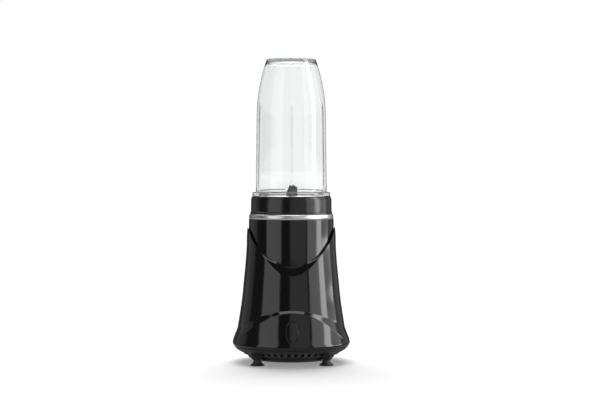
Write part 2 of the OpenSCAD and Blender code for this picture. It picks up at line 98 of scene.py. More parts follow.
class Outline:
    """Radius of a turned surface at any height, on a smooth curve through a few points."""

    def __init__(self, points):
        self.r, self.z = np.array(points, float).T
        step = np.diff(self.r) / np.diff(self.z)
        self.slope = np.concatenate([step[:1], (step[1:] + step[:-1]) / 2, step[-1:]])

    def __call__(self, z):
        z = np.clip(z, self.z[0], self.z[-1])
        i = np.clip(np.searchsorted(self.z, z, side="right") - 1, 0, len(self.z) - 2)
        h = self.z[i + 1] - self.z[i]
        t = (z - self.z[i]) / h
        start = (1 + 2 * t) * (1 - t) ** 2 * self.r[i] + t * (1 - t) ** 2 * h * self.slope[i]
        return start + t * t * (3 - 2 * t) * self.r[i + 1] + t * t * (t - 1) * h * self.slope[i + 1]


def rounded(corners, steps=5):
    """A closed outline in which each corner that has a third number is rounded to that radius."""
    line = []
    for i, corner in enumerate(corners):
        here = np.array(corner[:2], float)
        if len(corner) < 3:
            line.append(tuple(here))
            continue
        back = np.array(corners[i - 1][:2], float) - here
        on = np.array(corners[(i + 1) % len(corners)][:2], float) - here
        back_length, on_length = np.linalg.norm(back), np.linalg.norm(on)
        back, on = back / back_length, on / on_length
        half = math.acos(max(-1.0, min(1.0, float(back @ on)))) / 2
        reach = min(corner[2] / math.tan(half), 0.49 * back_length, 0.49 * on_length)
        radius = reach * math.tan(half)
        middle = (back + on) / np.linalg.norm(back + on)
        centre = here + middle * radius / math.sin(half)
        first, last = here + back * reach - centre, here + on * reach - centre
        a0 = math.atan2(first[1], first[0])
        turn = (math.atan2(last[1], last[0]) - a0 + math.pi) % (2 * math.pi) - math.pi
        for k in range(steps + 1):
            a = a0 + turn * k / steps
            line.append((centre[0] + radius * math.cos(a), centre[1] + radius * math.sin(a)))
    return line


def ease(t, soft=0.2):
    """0 to 1 along a straight slope whose two ends are rounded over a share of its length."""
    t = np.asarray(t, float)
    m = 1 / (1 - soft)
    return np.where(t < soft, m * t * t / (2 * soft),
                    np.where(t > 1 - soft, 1 - m * (1 - t) ** 2 / (2 * soft), m * (t - soft / 2)))


def fade(x, start, end):
    """0 before start, 1 after end, and smooth between them."""
    t = np.clip((np.asarray(x, float) - start) / (end - start), 0, 1)
    return t * t * (3 - 2 * t)


# ---- Meshes --------------------------------------------------------------------------------------

def shown(name, data):
    """A new object of that mesh, light or camera, in the scene."""
    made = bpy.data.objects.new(name, data)
    bpy.context.scene.collection.objects.link(made)
    return made


class Shape:
    """A mesh that grows from closed parts, in millimetres, with its faces outward."""

    def __init__(self):
        self.points = []
        self.faces = []

    def add(self, points, faces):
        """Adds a part whose faces count from its own first point."""
        start = len(self.points)
        self.points.extend(tuple(map(float, p)) for p in points)
        self.faces.extend(tuple(start + int(i) for i in f) for f in faces)
        return self

    def turned(self, outline, segments=192, bend=None):
        """A closed outline of radius and height turned round Z.

        bend(radius, turn, height) may change the radii of a ring.
        """
        line = np.array(outline, float)
        r, z = line.T
        if np.sum(r * np.roll(z, -1) - np.roll(r, -1) * z) < 0:
            line = line[::-1]
        turn = np.arange(segments) * 2 * math.pi / segments
        points, rings = [], []
        for radius, height in line:
            if radius < 1e-6:
                rings.append([len(points)] * segments)
                points.append((0, 0, height))
            else:
                rings.append(list(range(len(points), len(points) + segments)))
                radii = np.full(segments, radius) if bend is None else bend(radius, turn, height)
                points += list(zip(radii * np.cos(turn), radii * np.sin(turn), [height] * segments))
        faces = []
        for low, high in zip(rings, rings[1:] + rings[:1]):
            for j in range(segments):
                k = (j + 1) % segments
                face = [low[j], low[k], high[k], high[j]]
                face = [v for n, v in enumerate(face) if v != face[n - 1]]
                if len(face) > 2:
                    faces.append(face)
        return self.add(points, faces)

    def lofted(self, loops, capped=True):
        """Loops of the same number of points, each anticlockwise as seen from the last one, joined in order."""
        count = len(loops[0])
        points = [p for loop in loops for p in loop]
        faces = []
        for n in range(len(loops) - 1):
            for j in range(count):
                k = (j + 1) % count
                faces.append([n * count + j, n * count + k, (n + 1) * count + k, (n + 1) * count + j])
        if capped:
            faces.append(list(range(count))[::-1])
            faces.append([(len(loops) - 1) * count + j for j in range(count)])
        return self.add(points, faces)

    def swept(self, section, middles, half, steps):
        """A section of radius and height swept round Z, by half degrees to each side of each middle bearing."""
        for middle in middles:
            loops = []
            for share in np.linspace(-1, 1, steps):
                a = math.radians(middle + half * share)
                loops.append([(r * math.cos(a), r * math.sin(a), z) for r, z in section(share)][::-1])
            self.lofted(loops)
        return self

    def block(self, low, high, edge=0.3):
        """A box with chamfered edges."""
        low, high = np.array(low, float), np.array(high, float)
        edge = min(edge, 0.3 * float(min(high - low)))

        def loop(inset, z):
            """The eight corners at one height."""
            x0, y0, x1, y1 = low[0] + inset, low[1] + inset, high[0] - inset, high[1] - inset
            c = edge
            return [(x0 + c, y0, z), (x1 - c, y0, z), (x1, y0 + c, z), (x1, y1 - c, z),
                    (x1 - c, y1, z), (x0 + c, y1, z), (x0, y1 - c, z), (x0, y0 + c, z)]

        return self.lofted([loop(edge, low[2]), loop(0, low[2] + edge), loop(0, high[2] - edge), loop(edge, high[2])])

    def carried(self, move):
        """The same shape after move(points) has been applied to its array of points."""
        self.points = [tuple(p) for p in move(np.array(self.points, float))]
        return self

    def moved(self, x, y, z=0):
        """The same shape, moved."""
        return self.carried(lambda p: p + np.array([x, y, z]))

    def spun(self, turn):
        """The same shape, turned round Z by an angle in radians."""
        c, n = math.cos(turn), math.sin(turn)
        return self.carried(
            lambda p: np.stack([c * p[:, 0] - n * p[:, 1], n * p[:, 0] + c * p[:, 1], p[:, 2]], axis=1))

    def joined(self, other):
        """This shape with another one added to it."""
        return self.add(other.points, other.faces)

    def piece(self, name, finish, crease=38):
        """A Blender object of this shape, smooth except where faces meet at more than the crease angle."""
        mesh = bpy.data.meshes.new(name)
        mesh.from_pydata([(x * MM, y * MM, z * MM) for x, y, z in self.points], [], self.faces)
        mesh.validate()
        mesh.shade_smooth()
        mesh.set_sharp_from_angle(angle=math.radians(crease))
        mesh.materials.append(finish)
        return shown(name, mesh)


def settle(made, body, slot, *nodes):
    """The piece rides on a body and stands for the CAD nodes named, which it hides. slot is not used."""
    if nodes:
        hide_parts(*nodes)
    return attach(made, body)


def lathe(name, finish, body, slot, node, segments, line, crease=38, steps=5):
    """A turned piece whose corners are rounded, in place of one CAD node."""
    made = Shape().turned(rounded(line, steps), segments).piece(name, finish, crease)
    return settle(made, body, slot, node)


# ---- Node trees ----------------------------------------------------------------------------------

def through(operation):
    """A method that takes an output, and what it is combined with, through one Math node."""
    return lambda self, *others: self.graph.node("ShaderNodeMath", {"operation": operation}, [self, *others])


class Socket:
    """A node's output. Its operators add Math nodes to the tree that it is in."""

    def __init__(self, graph, link):
        self.graph = graph
        self.link = link

    def __rsub__(self, other):
        return self.graph.node("ShaderNodeMath", {"operation": "SUBTRACT"}, [other, self])

    def __neg__(self):
        return self * -1

    __add__ = __radd__ = through("ADD")
    __sub__ = through("SUBTRACT")
    __mul__ = __rmul__ = through("MULTIPLY")
    __truediv__ = through("DIVIDE")
    __mod__ = through("FLOORED_MODULO")
    without_sign = through("ABSOLUTE")
    or_more = through("MAXIMUM")
    power = through("POWER")

    def between(self, low, high):
        """0 at low, 1 at high, smooth between them and held outside."""
        return self.graph.node("ShaderNodeMapRange", {"interpolation_type": "SMOOTHSTEP"}, [self, low, high, 0, 1])


class Graph:
    """A node tree, and the one method that makes any node in it."""

    def __init__(self, tree):
        self.tree = tree

    def node(self, kind, settings=None, sockets=None, out=None):
        """A node with its settings, and its inputs set or linked. Gives the output named, or else the first one."""
        made = self.tree.nodes.new(kind)
        for name, value in (settings or {}).items():
            setattr(made, name, value)
        named = enumerate(sockets) if isinstance(sockets, (list, tuple)) else (sockets or {}).items()
        for key, value in named:
            target = made.inputs[key] if isinstance(key, int) else next(
                s for s in made.inputs if s.name == key and s.enabled)
            if isinstance(value, Socket):
                self.tree.links.new(value.link, target)
            else:
                target.default_value = value
        open_ends = [s for s in made.outputs if s.enabled]
        if out is not None:
            return Socket(self, next(s for s in open_ends if s.name == out))
        return Socket(self, open_ends[0] if open_ends else None)


class Finish(Graph):
    """A material, built from patterns on Object coordinates. Pattern sizes are in millimetres."""

    def __init__(self, name):
        self.material = bpy.data.materials.new(name)
        self.material.use_nodes = True
        super().__init__(self.material.node_tree)
        self.tree.nodes.clear()
        self.place = self.node("ShaderNodeTexCoord", out="Object")

    def noise(self, size, detail=2.0, rough=0.5, stretch=None):
        """Noise with grains of about that size. stretch gives how many times longer they are along X, Y and Z."""
        place = self.place
        if stretch is not None:
            place = self.node("ShaderNodeMapping", None, {"Vector": place, "Scale": tuple(1 / s for s in stretch)})
        return self.node("ShaderNodeTexNoise", None,
                         {"Vector": place, "Scale": 1000 / size, "Detail": detail, "Roughness": rough}, "Fac")

    def part(self, axis):
        """One Object coordinate, in millimetres."""
        return self.node("ShaderNodeSeparateXYZ", None, {"Vector": self.place}, axis) * 1000.0

    def colour(self, first, second, share):
        """A mix of two colours, either of which may be a colour output."""
        return self.node("ShaderNodeMix", {"data_type": "RGBA"},
                         {"Factor": share, "A": (*first, 1) if isinstance(first, tuple) else first,
                          "B": (*second, 1) if isinstance(second, tuple) else second})

    def bump(self, height, depth, under=None):
        """A bump of that depth in millimetres, over another one if it is given."""
        sockets = {"Strength": 1.0, "Distance": depth * MM, "Height": height}
        if under is not None:
            sockets["Normal"] = under
        return self.node("ShaderNodeBump", None, sockets, "Normal")

    def done(self, colour, roughness, normal=None, **constants):
        """Ends the material with a Principled surface. Constants are named after its inputs."""
        sockets = {"Base Color": colour, "Roughness": roughness}
        if normal is not None:
            sockets["Normal"] = normal
        sockets.update({name.replace("_", " "): value for name, value in constants.items()})
        surface = self.node("ShaderNodeBsdfPrincipled", None, sockets)
        self.node("ShaderNodeOutputMaterial", None, {"Surface": surface})
        return self.material


# ---- Finishes ------------------------------------------------------------------------------------

def gloss_black():
    """Polished black ABS: deep colour, a faint swell in the reflections and a few hazy patches."""
    f = Finish("gloss_black_abs")
    haze = f.noise(26, 3)
    colour = f.colour((0.0025, 0.0025, 0.0027), (0.0042, 0.0042, 0.0045), haze)
    swell = f.bump(f.noise(14, 1), 0.012)
    peel = f.bump(f.noise(0.9, 2), 0.0012, swell)
    return f.done(colour, haze.between(0.3, 0.8) * 0.04 + 0.095, peel, Specular_IOR_Level=0.5)


def holder_black():
    """Black polypropylene, a little softer in its shine than the base."""
    f = Finish("holder_black_plastic")
    haze = f.noise(12, 3)
    colour = f.colour((0.003, 0.003, 0.0032), (0.0055, 0.0055, 0.006), haze)
    grain = f.bump(f.noise(0.45, 3), 0.003, f.bump(f.noise(9, 1), 0.008))
    return f.done(colour, haze.between(0.25, 0.8) * 0.06 + 0.17, grain)


def clear_plastic():
    """Clear moulded copolyester, a little grey through its thickness, with fine handling marks."""
    f = Finish("clear_copolyester")
    marks = f.noise(7, 4, stretch=(1, 1, 2.4))
    colour = f.colour((0.985, 0.99, 0.99), (1.0, 1.0, 1.0), marks)
    swell = f.bump(f.noise(16, 1), 0.01)
    surface = f.node("ShaderNodeBsdfPrincipled", None,
                     {"Base Color": colour, "Roughness": marks.between(0.55, 0.85) * 0.05 + 0.012, "Normal": swell,
                      "IOR": 1.53, "Transmission Weight": 1.0})
    let_through = f.node("ShaderNodeBsdfTransparent", None, {"Color": (0.9, 0.91, 0.91, 1)})
    shadow = f.node("ShaderNodeLightPath", None, None, "Is Shadow Ray")
    mixed = f.node("ShaderNodeMixShader", None, [shadow, surface, let_through])
    inside = f.node("ShaderNodeVolumeAbsorption", None, {"Color": (0.55, 0.57, 0.58, 1), "Density": 42.0})
    f.node("ShaderNodeOutputMaterial", None, {"Surface": mixed, "Volume": inside})
    return f.material


def blade_steel():
    """Stainless sheet, ground along its length."""
    f = Finish("ground_stainless_blade")
    lines = f.noise(0.35, 3)
    scratches = f.noise(1.1, 5, 0.7, stretch=(5, 1, 5))
    colour = f.colour((0.5, 0.51, 0.52), (0.7, 0.7, 0.71), scratches)
    return f.done(colour, scratches * 0.18 + 0.16, f.bump(scratches, 0.006, f.bump(lines, 0.002)), Metallic=1.0)


def pressed_metal():
    """Zinc-coated pressed sheet with a faint spangle."""
    f = Finish("zinc_pressed_metal")
    spangle = f.node("ShaderNodeTexVoronoi", None, {"Vector": f.place, "Scale": 260.0}, "Color")
    tone = f.node("ShaderNodeSeparateColor", None, {"Color": spangle}, "Red")
    colour = f.colour((0.36, 0.37, 0.38), (0.52, 0.53, 0.55), tone)
    return f.done(colour, tone * 0.15 + 0.32, f.bump(f.noise(1.2, 3), 0.01), Metallic=1.0)


def laminations():
    """Stacked iron sheets, half a millimetre each, with varnish over them."""
    f = Finish("core_laminations")
    layer = (f.part("Z") % 0.5) / 0.5
    groove = 1 - (layer - 0.5).without_sign().between(0.3, 0.5)
    colour = f.colour((0.05, 0.045, 0.04), (0.3, 0.29, 0.28), groove * 0.7 + f.noise(2, 3) * 0.3)
    return f.done(colour, f.noise(3, 3) * 0.2 + 0.38, f.bump(groove, 0.06), Metallic=0.8, Coat_Weight=0.3)


def copper_wire():
    """Enamelled copper wound in turns of 0.6 mm. Its colour has painted shade between the turns and is lighter on each
    crest.
    """
    f = Finish("enamelled_copper")
    turn = ((f.part("Z") + f.noise(9, 1) * 0.8) % 0.6) / 0.6
    crest_and_painted_shade = 1 - (turn - 0.5).without_sign() * 2
    # Painted shade: the colour runs from dark between the turns to light on each wire's crest.
    colour = f.colour((0.16, 0.045, 0.012), (0.62, 0.24, 0.08), crest_and_painted_shade * 0.7 + f.noise(2, 3) * 0.3)
    return f.done(colour, f.noise(2, 2) * 0.1 + 0.24, f.bump(crest_and_painted_shade, 0.16), Metallic=0.9, Coat_Weight=0.6)


def commutator_copper():
    """Copper bars with mica slots between them and the dark band that the brushes leave."""
    f = Finish("commutator_bars")
    x, y = f.part("X"), f.part("Y")
    turn = f.node("ShaderNodeMath", {"operation": "ARCTAN2"}, [y, x]) * (24 / (2 * math.pi))
    slot = ((turn % 1.0) - 0.5).without_sign().between(0.42, 0.47)
    z = f.part("Z")
    band = (z - 65.7).without_sign().between(3.4, 4.2)
    copper = f.colour((0.2, 0.11, 0.07), (0.66, 0.32, 0.16), band)
    colour = f.colour(copper, (0.03, 0.025, 0.02), slot)
    return f.done(colour, f.noise(0.8, 3, stretch=(20, 20, 1)) * 0.2 + 0.2, f.bump(slot, -0.3), Metallic=0.9)


def brush_brass():
    """Stamped brass, dulled by warmth."""
    f = Finish("stamped_brass")
    tarnish = f.noise(5, 4)
    colour = f.colour((0.3, 0.19, 0.07), (0.62, 0.45, 0.18), tarnish.between(0.3, 0.7))
    return f.done(colour, tarnish * 0.2 + 0.25, f.bump(f.noise(0.6, 3), 0.008), Metallic=1.0)


def rubber():
    """Black rubber with a dusty bloom."""
    f = Finish("foot_rubber")
    bloom = f.noise(2.2, 4)
    colour = f.colour((0.012, 0.012, 0.012), (0.035, 0.035, 0.035), bloom.between(0.35, 0.8))
    return f.done(colour, bloom * 0.15 + 0.5, f.bump(f.noise(0.3, 3), 0.02), Sheen_Weight=0.15)


def bush_bronze():
    """Porous sintered bronze, full of oil."""
    f = Finish("sintered_bronze")
    pores = f.noise(0.3, 2)
    colour = f.colour((0.16, 0.09, 0.04), (0.5, 0.33, 0.16), pores.between(0.35, 0.6))
    return f.done(colour, pores * 0.2 + 0.3, f.bump(pores, 0.02), Metallic=0.9)


def even(name, dark, light, tone, shine, relief, **constants):
    """A finish whose colour, roughness and bump each follow one noise.

    tone is a size and detail, shine also has a range and a least roughness, and relief is a depth and then a size,
    detail, roughness and stretch.
    """
    f = Finish(name)
    colour = f.colour(dark, light, f.noise(*tone))
    spread, least = shine[2:]
    depth, *grain = relief
    return f.done(colour, f.noise(*shine[:2]) * spread + least, f.bump(f.noise(*grain), depth), **constants)


def moulded(name, dark, light, roughness, grain=0.4):
    """Moulded plastic with a spark-eroded grain and slight tonal drift."""
    return even(name, dark, light, (9, 3), (6, 2, 0.12, roughness), (0.012, grain, 3))


GLOSS = gloss_black()
HOLDER = holder_black()
MATTE = even("matte_black_plastic", (0.007, 0.007, 0.0075), (0.014, 0.014, 0.0148), (3, 4), (20, 2, 0.1, 0.4),
             (0.02, 0.35, 3), Specular_IOR_Level=0.25)
BRIGHT = even("bright_plated_trim", (0.6, 0.605, 0.61), (0.68, 0.68, 0.685), (8, 3), (5, 3, 0.08, 0.27),
              (0.0008, 0.3, 2, 0.5, (60, 60, 1)), Metallic=1.0)
CLEAR = clear_plastic()
BLADE = blade_steel()
MACHINED = even("machined_steel", (0.42, 0.43, 0.44), (0.62, 0.62, 0.63), (4, 4), (2, 3, 0.15, 0.22),
                (0.004, 0.25, 2, 0.5, (25, 25, 1)), Metallic=1.0)
BEARING = even("bearing_steel", (0.55, 0.55, 0.56), (0.72, 0.71, 0.7), (3, 3), (3, 3, 0.1, 0.12),
               (0.002, 0.2, 2, 0.5, (20, 20, 1)), Metallic=1.0, Coat_Weight=0.2)
PRESSED = pressed_metal()
CORE = laminations()
COPPER = copper_wire()
COMMUTATOR = commutator_copper()
BRASS = brush_brass()
CARBON = even("pressed_carbon", (0.012, 0.012, 0.013), (0.05, 0.05, 0.052), (0.25, 3), (0.25, 3, 0.2, 0.42),
              (0.02, 0.25, 3))
DECK = moulded("deck_grey_plastic", (0.03, 0.03, 0.032), (0.05, 0.05, 0.052), 0.36)
SWITCH = moulded("switch_plastic", (0.02, 0.02, 0.022), (0.035, 0.035, 0.037), 0.4, 0.6)
FAN = moulded("fan_plastic", (0.05, 0.05, 0.055), (0.08, 0.08, 0.085), 0.42)
NYLON = moulded("coupling_nylon", (0.025, 0.025, 0.027), (0.045, 0.045, 0.048), 0.38, 0.5)
WHITE = moulded("plunger_white", (0.66, 0.66, 0.64), (0.78, 0.78, 0.76), 0.34)
RUBBER = rubber()
SILICONE = even("pale_silicone", (0.55, 0.55, 0.54), (0.7, 0.7, 0.69), (4, 3), (3, 2, 0.1, 0.4), (0.01, 0.5, 2),
                Subsurface_Weight=0.15, Subsurface_Scale=0.002)
BRONZE = bush_bronze()


# ---- Motor base, outside -------------------------------------------------------------------------

skirt_r = Outline(SKIRT_LINE)
body_r = Outline(BODY_LINE)
cavity_r = Outline(CAVITY_LINE)


def neckline(x):
    """Height of the line where the housing meets the sleeve: a round dip in front that steepens to the sides."""
    x = np.abs(x)
    lowest, steep_from = 105.5, 42
    dip = 0.142 * (np.sqrt(x * x + 64) - 8) + 0.01517 * x * x
    return lowest + dip + 0.094 * np.maximum(x - steep_from, 0) ** 2


def neck_width(x):
    """Share of its full width that the neckline bevel keeps, wide in front and a thin line at the sides."""
    return np.exp(-(np.abs(x) / 27) ** 4)


def arch_low(x):
    """Lower edge of the slope over the skirt. It falls away to the widest line of the base at the sides."""
    falling, least = 60.4 - 0.0095 * x * x, 24.2
    return (falling + least + np.sqrt((falling - least) ** 2 + 9)) / 2


def arch_high(x):
    """Upper edge of the same slope."""
    return 63.9 - 0.006 * x * x


def level(line, radius, turn, guess):
    """Height at which each column of a turned surface meets a line drawn across the front."""
    z = np.full(len(turn), float(guess))
    for _ in range(40):
        z = 0.5 * z + 0.5 * line(radius(z) * np.sin(turn))
    return z


def oval_reach(along_x, along_z, w, h):
    """Distance from the middle of an upright ellipse to its edge, in each direction."""
    return 1 / np.sqrt((along_x / (w / 2)) ** 2 + (along_z / (h / 2)) ** 2)


def housing_rows(turn):
    """Radius and height of each row of the outer skin, up to the sleeve and back down inside."""
    zero = np.zeros_like(turn)
    arch_guess, neck_guess, soft = 50, 110, 0.12
    low = level(arch_low, skirt_r, turn, arch_guess)
    high = level(arch_high, body_r, turn, arch_guess)
    edge = level(lambda x: neckline(x) - 0.9 - 4.1 * neck_width(x), body_r, turn, neck_guess)
    foot = level(lambda x: neckline(x) + 0.9 + 5.4 * neck_width(x), lambda z: SLEEVE_R + 0 * z, turn, neck_guess)
    rows = []
    for t in np.linspace(0, 1, 29):
        z = HOUSING_LOW + (low - HOUSING_LOW) * t
        rows.append((skirt_r(z), z))
    for t in (0.06, 0.13, 0.21, 0.35, 0.5, 0.65, 0.79, 0.87, 0.94):
        z = low + (high - low) * t
        rows.append((skirt_r(low) + (body_r(high) - skirt_r(low)) * ease(t, soft), z))
    for t in np.linspace(0, 1, 60):
        z = high + (edge - high) * t
        rows.append((body_r(z), z))
    step = body_r(edge) - SLEEVE_R - 0.06
    wide = neck_width(body_r(edge) * np.sin(turn))
    for t in (0.05, 0.12, 0.2, 0.35, 0.5, 0.65, 0.8, 0.92, 1):
        sweep = ease(t, soft)
        ledge = 0.35 * t + 0.65 * t ** 8
        rows.append((body_r(edge) - step * (sweep * wide + ledge * (1 - wide)), edge + (foot - edge) * t))
    outer = len(rows)
    for t in np.linspace(0, 1, 46):
        z = foot - 0.4 + (24.5 - foot + 0.4) * t
        rows.append((np.minimum(cavity_r(z), body_r(z) - 0.7), z))
    rows.append((zero + 63.4, zero + HOUSING_LOW))
    return rows, outer


def front_block_loop(grid, columns, rows):
    """Vertex numbers round a block of a grid, anticlockwise as seen from outside."""
    left, right = columns[0], columns[-1]
    low, high = rows[0], rows[-1]
    loop = [grid[low][j] for j in columns]
    loop += [grid[i][right] for i in rows[1:]]
    loop += [grid[high][j] for j in columns[::-1][1:]]
    loop += [grid[i][left] for i in rows[::-1][1:-1]]
    return loop


def main_housing():
    """One closed shell: flared skirt under an arch, tapered body above it, and a neckline round the sleeve."""
    columns = 360
    turn = np.arange(columns) * 2 * math.pi / columns
    rows, outer = housing_rows(turn)
    points, grid = [], []
    for radius, z in rows:
        grid.append([len(points) + j for j in range(columns)])
        points += list(zip(radius * np.sin(turn), -radius * np.cos(turn), z))

    # The button's opening takes the middle out of a block of this grid, outside and inside.
    half = 10
    across = [(j + columns) % columns for j in range(-half, half + 1)]
    up = list(range(2, 27))
    inner_up = [i for i in range(outer, len(rows) - 1)][::-1]
    inner_z = [points[grid[i][0]][2] for i in inner_up]
    first = int(np.searchsorted(inner_z, 25.5))
    inner_block = inner_up[first:first + len(up)]
    faces = []
    for i in range(len(rows)):
        n = (i + 1) % len(rows)
        for j in range(columns):
            k = (j + 1) % columns
            in_front = j in across[:-1]
            if in_front and i in up[:-1]:
                continue
            if in_front and i in inner_block[1:] and n in inner_block:
                continue
            faces.append([grid[i][j], grid[i][k], grid[n][k], grid[n][j]])

    outside = front_block_loop(grid, across, up)
    inside = front_block_loop(grid, across, inner_block)
    rim = np.array([points[v] for v in outside])
    dx, dz = rim[:, 0], rim[:, 2] - BUTTON_Z
    far = np.hypot(dx, dz)
    reach = oval_reach(dx / far, dz / far, BUTTON_W, BUTTON_H)
    oval_x, oval_z = dx / far * reach, dz / far * reach

    def on_surface(x, z, radius, sink):
        """Points on the front of a turned surface, or sunk behind it."""
        r = radius(z)
        return list(zip(x, -np.sqrt(r * r - x * x) + sink, z))

    loops = [outside]

    def ring(new):
        """Adds one more loop of points round the opening."""
        start = len(points)
        points.extend(new)
        loops.append(list(range(start, start + len(new))))

    for t in (0.25, 0.5, 0.75, 0.9):
        grown = 1 + 0.45 / np.hypot(oval_x, oval_z)
        x = rim[:, 0] + (oval_x * grown - rim[:, 0]) * t
        z = rim[:, 2] + (oval_z * grown + BUTTON_Z - rim[:, 2]) * t
        ring(on_surface(x, z, skirt_r, 0))
    for out, sink in ((0.45, 0), (0.25, 0.05), (0.08, 0.2), (0, 0.5)):
        grown = 1 + out / np.hypot(oval_x, oval_z)
        ring(on_surface(oval_x * grown, oval_z * grown + BUTTON_Z, skirt_r, sink))
    ring(on_surface(oval_x, oval_z + BUTTON_Z, cavity_r, 0))
    back = np.array([points[v] for v in inside])
    for t in (0.35, 0.7):
        x = oval_x + (back[:, 0] - oval_x) * t
        z = oval_z + BUTTON_Z + (back[:, 2] - oval_z - BUTTON_Z) * t
        ring(on_surface(x, z, cavity_r, 0))
    loops.append(inside)
    for near, on in zip(loops, loops[1:]):
        for j in range(len(near)):
            k = (j + 1) % len(near)
            faces.append([near[j], near[k], on[k], on[j]])
    made = Shape().add(points, faces).piece("housing_shell", GLOSS, 30)
    return settle(made, "motor_base", "housing_black", "main_housing")


def top_sleeve():
    """The smooth band above the neckline, with a ledge that carries the ring."""
    inner = SLEEVE_R - 2.3
    lathe("sleeve_band", GLOSS, "motor_base", "housing_black", "top_sleeve", 256,
          [(inner, SLEEVE_LOW, 0.3), (SLEEVE_R, SLEEVE_LOW, 0.3), (SLEEVE_R, SLEEVE_TOP, 0.25),
           (45.6, SLEEVE_TOP, 0.2), (45.6, SLEEVE_TOP - 2.5, 0.2), (inner, SLEEVE_TOP - 2.5, 0.3)])


def bright_ring():
    """Plated ring: a lower face that leans out, a shallow waist and a bevelled top edge."""
    inner = RING_R - 3.1
    lathe("ring_trim", BRIGHT, "motor_base", "bright_ring", "chrome_ring", 256,
          [(inner, SLEEVE_TOP), (RING_R - 0.75, SLEEVE_TOP, 0.2), (RING_R, SLEEVE_TOP + 2, 0.6),
           (RING_R - 0.55, SLEEVE_TOP + 3.9, 0.8), (RING_R - 0.5, RING_TOP - 1.1, 0.4),
           (RING_R - 1.4, RING_TOP, 0.35), (inner, RING_TOP, 0.3)], 50, 8)


main_housing()
top_sleeve()
bright_ring()


# ---- Blade holder and cup ------------------------------------------------------------------------

def blade_holder():
    """The black collar: a foot ring, a slightly tapered wall, the cup's pocket and the skirt with its tabs."""
    bore, boss = 8.05, 13
    outline = rounded([
        (bore, 168.5, 0.2), (39.5, 168.5, 1.0), (39.5, HOLDER_LOW, 0.5), (41.9, HOLDER_LOW, 0.7),
        (41.9, RING_TOP + 0.3, 0.4), (HOLDER_R - 0.4, RING_TOP + 0.3, 0.2), (HOLDER_R, 170.9, 0.3),
        (HOLDER_R, 172.0, 0.35), (HOLDER_R - 0.7, 172.7, 0.3), (HOLDER_R - 0.95, 187, 6),
        (HOLDER_R - 1.9, HOLDER_TOP - 0.5, 0.8), (HOLDER_R - 2.7, HOLDER_TOP, 0.4), (42.4, HOLDER_TOP, 0.3),
        (42.4, 172, 0.8), (boss, 172, 0.8), (boss, 178, 0.5), (bore, 178, 0.3)], 6)

    def tab(share):
        """Section of a bayonet tab, shorter at its two ends."""
        run = 43.8 - 0.5 * fade(abs(share), 0.8, 1)
        return rounded([(41, 157.4, 0.2), (run, 157.4, 0.4), (run, 160.6, 0.4), (41, 160.6, 0.2)], 3)

    made = Shape().turned(outline, 256).swept(tab, (90, 210, 330), 9, 13).piece("holder_collar", HOLDER)
    return settle(made, "blade_holder", "holder_black", "blade_holder")


def tall_cup():
    """Clear cup, mouth down: neck, flange, long wall, gentle shoulder, recessed end and four slim ribs inside."""
    cup_r, shoulder_r, shoulder_z, curve, wall = 40.8, 39.7, 280, 200, 2.4
    outer_turn, inner_turn, steps = 18.7, 17.4, 20
    neck, flange_low, flange_top = 41.6, 190.6, 194.9
    rib_low, rib_high, rib_rise = 199, 298, 1.25

    def shoulder(radius, turn):
        """A point of the shoulder's arc."""
        a = math.radians(turn)
        return shoulder_r - curve + radius * math.cos(a), shoulder_z + radius * math.sin(a)

    outer = [(neck, CUP_LOW, 0.5), (neck, flange_low, 0.3), (FLANGE_R, flange_low, 0.35), (FLANGE_R, flange_top, 0.7),
             (cup_r, flange_top, 0.9)]
    outer += [(cup_r + (shoulder_r - cup_r) * t, flange_top + (shoulder_z - flange_top) * t)
              for t in (0.3, 0.6, 0.85)]
    outer += [shoulder(curve, outer_turn * k / steps) for k in range(steps + 1)]
    outer += [(28.6, CUP_TOP - 1.1, 0.8), (27.9, CUP_TOP, 0.8), (25.9, CUP_TOP, 0.4), (25.1, CUP_TOP - 1.4, 0.5),
              (0, CUP_TOP - 1.4)]
    inner = [(0, CUP_TOP - 4.6), (26.9, CUP_TOP - 4.6, 1.8)]
    inner += [shoulder(curve - wall, inner_turn * k / steps) for k in range(steps, -1, -1)]
    inner += [(shoulder_r - wall + (cup_r - shoulder_r) * t, shoulder_z + (flange_top - shoulder_z) * t)
              for t in np.linspace(0.08, 0.96, 18)]
    inner += [(cup_r - wall, flange_top, 1.2), (neck - 2.8, flange_low, 1.2), (neck - 2.8, CUP_LOW, 0.5)]
    outline = rounded(outer + inner, 6)

    def ribs(radius, turn, height):
        """Draws the wall in at four bearings."""
        radii = np.full(len(turn), radius)
        if rib_low < height < rib_high and radius < shoulder_r - 0.5 * wall:
            off = (turn + math.pi / 4) % (math.pi / 2) - math.pi / 4
            share = np.clip(1 - (off * radius / 1.7) ** 2, 0, 1)
            ends = fade(height, rib_low, rib_low + 5) * (1 - fade(height, rib_high - 5, rib_high))
            radii = radii - rib_rise * share * share * ends
        return radii

    made = Shape().turned(outline, 360, ribs).piece("cup_clear", CLEAR, 50)
    return settle(made, "tall_cup", "clear_cup", "tall_cup")


blade_holder()
tall_cup()


# ---- Pieces that repeat round the axis or follow a coil ------------------------------------------

